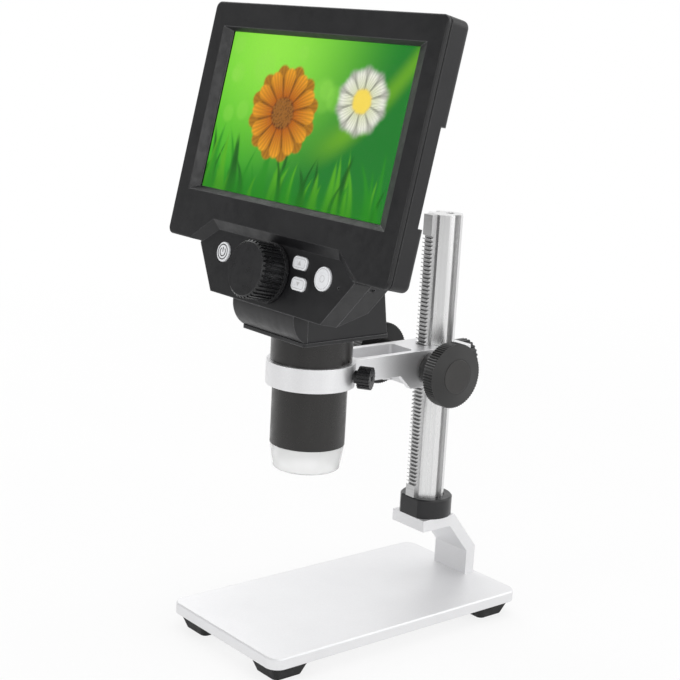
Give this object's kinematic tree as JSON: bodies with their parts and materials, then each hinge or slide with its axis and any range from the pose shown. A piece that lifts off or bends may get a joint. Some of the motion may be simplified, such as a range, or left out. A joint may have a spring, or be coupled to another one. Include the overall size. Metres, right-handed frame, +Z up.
{
  "type": "lcd digital microscope",
  "caption": "Digital microscope with a built-in colour screen, held in a ring arm on a rack-and-pinion column over a flat metal base.",
  "frame": {"origin": "middle of the base plate, on the surface that the feet stand on", "axes": "+Z up, the screen and the controls face -Y, the column stands at the back towards +Y, +X to the right of someone facing the screen"},
  "size_m": [0.1908, 0.1836, 0.3502],
  "materials": {
    "silver_plate": "satin, fine grained",
    "anodised_aluminium": "satin anodised",
    "rack_steel": "milled",
    "steel": "turned",
    "bronze": "turned",
    "nylon": "matte",
    "rubber_black": "matte",
    "housing_black": "fine spark-eroded grain",
    "knob_black": "satin",
    "barrel_black": "gloss",
    "button_silver": "satin silver paint",
    "clear_plastic": "clear, frosted inside",
    "screen_cover": "clear",
    "lcd": "lit screen",
    "circuit_board": "solder mask",
    "component_black": "moulded",
    "led_white": "clear dome",
    "lens_glass": "coated",
    "battery_silver": "foil",
    "connector_steel": "bright"
  },
  "bodies": {
    "stand": {"base_plate": "silver_plate", "foot_front_left": "rubber_black", "foot_front_right": "rubber_black", "foot_rear_left": "rubber_black", "foot_rear_right": "rubber_black", "riser_bracket": "silver_plate", "bracket_screws": "steel", "column": "anodised_aluminium", "rack": "rack_steel", "column_collar": "knob_black", "column_bolt": "steel"},
    "carriage": {"arm": "anodised_aluminium", "bush_left": "bronze", "bush_right": "bronze", "brake_pad": "nylon"},
    "pinion": {"pinion_shaft": "steel", "knob_left": "knob_black", "knob_right": "knob_black", "knob_cap_left": "knob_black", "knob_cap_right": "knob_black"},
    "lock": {"lock_knob": "knob_black", "lock_screw": "steel"},
    "ring_screw": {"thumbscrew": "knob_black"},
    "head": {"front_bezel": "housing_black", "rear_cover": "housing_black", "screen_glass": "screen_cover", "lcd_panel": "lcd", "main_board": "circuit_board", "key_board": "circuit_board", "key_switches": "component_black", "nose_cover": "housing_black", "camera_body": "housing_black", "body_base_plate": "housing_black", "barrel_upper": "barrel_black", "barrel_lower": "barrel_black", "light_tip": "clear_plastic", "led_board": "circuit_board", "leds": "led_white", "sensor_board": "circuit_board", "image_sensor": "component_black", "battery": "battery_silver", "usb_port": "connector_steel", "card_slot": "connector_steel"},
    "focus": {"focus_wheel": "knob_black", "focus_shaft": "steel"},
    "lens": {"lens_cell": "barrel_black", "front_lens": "lens_glass", "rear_lens": "lens_glass"},
    "power_key": {"power_button": "button_silver"},
    "up_key": {"up_button": "button_silver"},
    "down_key": {"down_button": "button_silver"},
    "round_key": {"round_button": "button_silver"}
  },
  "joints": [
    {"name": "carriage_slide", "type": "slide", "parent": "stand", "child": "carriage", "axis": [0, 0, 1], "range_m": [-0.07, 0.068]},
    {"name": "pinion_turn", "type": "hinge", "parent": "carriage", "child": "pinion", "pos_m": [0, 0.0395, 0.1506], "axis": [1, 0, 0], "range_deg": [-905, 905]},
    {"name": "lock_knob_turn", "type": "hinge", "parent": "carriage", "child": "lock", "pos_m": [0, 0.0815, 0.1506], "axis": [0, 1, 0], "range_deg": [-90, 90]},
    {"name": "ring_screw_turn", "type": "hinge", "parent": "carriage", "child": "ring_screw", "pos_m": [0.0208, -0.02409, 0.1548], "axis": [0.8387, 0.5446, 0], "range_deg": [-180, 180]},
    {"name": "head_turn", "type": "hinge", "parent": "carriage", "child": "head", "pos_m": [0, -0.0376, 0.1548], "axis": [0, 0, 1], "range_deg": [-80, 80]},
    {"name": "lens_slide", "type": "slide", "parent": "head", "child": "lens", "axis": [0, 0, 1], "range_m": [-0.004, 0.004]},
    {"name": "focus_turn", "type": "hinge", "parent": "head", "child": "focus", "pos_m": [0, -0.07243, 0.21261], "axis": [0, -0.9759, 0.2181], "range_deg": [-172, 172]},
    {"name": "power_press", "type": "slide", "parent": "head", "child": "power_key", "axis": [0, 0.9759, -0.2181], "range_m": [0, 0.0008], "stiffness_N_per_m": 800, "springref_m": -0.0005},
    {"name": "up_press", "type": "slide", "parent": "head", "child": "up_key", "axis": [0, 0.9759, -0.2181], "range_m": [0, 0.0008], "stiffness_N_per_m": 800, "springref_m": -0.0005},
    {"name": "down_press", "type": "slide", "parent": "head", "child": "down_key", "axis": [0, 0.9759, -0.2181], "range_m": [0, 0.0008], "stiffness_N_per_m": 800, "springref_m": -0.0005},
    {"name": "round_press", "type": "slide", "parent": "head", "child": "round_key", "axis": [0, 0.9759, -0.2181], "range_m": [0, 0.0008], "stiffness_N_per_m": 800, "springref_m": -0.0005}
  ],
  "couplings": [
    {"joint": "pinion_turn", "follows": "carriage_slide", "rad_per_m": -222.22},
    {"joint": "focus_turn", "follows": "lens_slide", "rad_per_m": 740}
  ]
}
